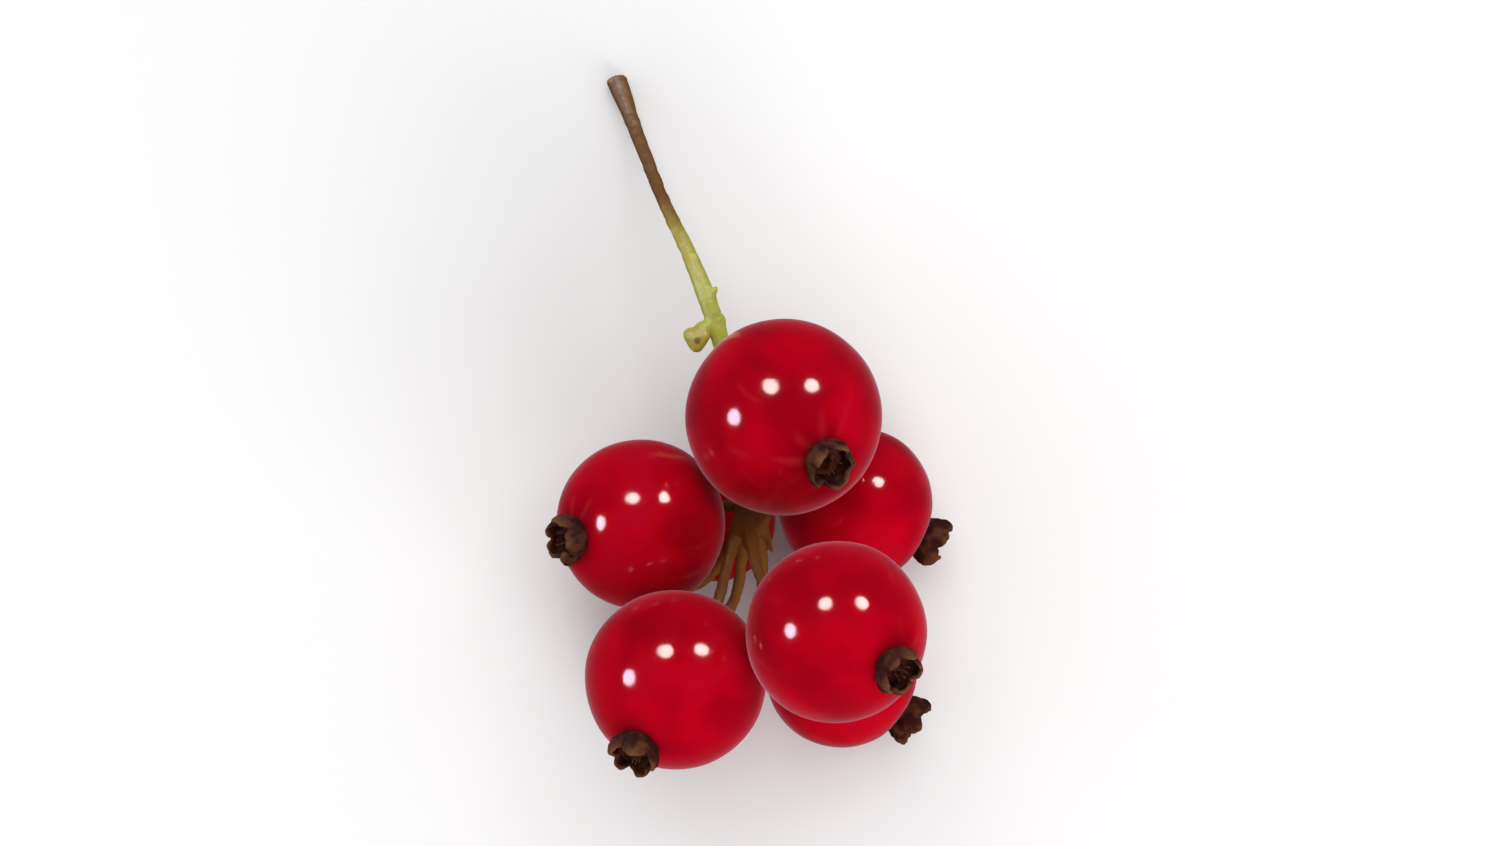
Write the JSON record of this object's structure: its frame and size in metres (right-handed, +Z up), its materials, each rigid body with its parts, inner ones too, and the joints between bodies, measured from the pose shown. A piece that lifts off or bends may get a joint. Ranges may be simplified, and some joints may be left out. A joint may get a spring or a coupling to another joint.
{
  "type": "sprig of redcurrants",
  "caption": "Small sprig of redcurrants lying on its side, with round glossy translucent berries, dried flower ends and a bare green stem.",
  "frame": {"origin": "on the table under the middle of the sprig, at the centre of the bottom of its box", "axes": "+Z up from the table, +Y along the stem from the berries to the picked end, +X to the right seen from above with +Y away"},
  "size_m": [0.023, 0.0388, 0.0244],
  "materials": {
    "berry": "smooth shiny skin over translucent red flesh",
    "dried_flower": "dry, wrinkled and dull brown",
    "stem": "smooth satin yellow-green, browning towards the picked end"
  },
  "bodies": {
    "root": {"stem": "stem", "berry_tip": "berry", "berry_inner": "berry", "berry_under": "berry", "berry_left": "berry", "berry_lower_left": "berry", "berry_lower_right": "berry", "berry_right": "berry", "berry_top": "berry", "dried_flower_tip": "dried_flower", "dried_flower_inner": "dried_flower", "dried_flower_under": "dried_flower", "dried_flower_left": "dried_flower", "dried_flower_lower_left": "dried_flower", "dried_flower_lower_right": "dried_flower", "dried_flower_right": "dried_flower", "dried_flower_top": "dried_flower"}
  },
  "joints": []
}
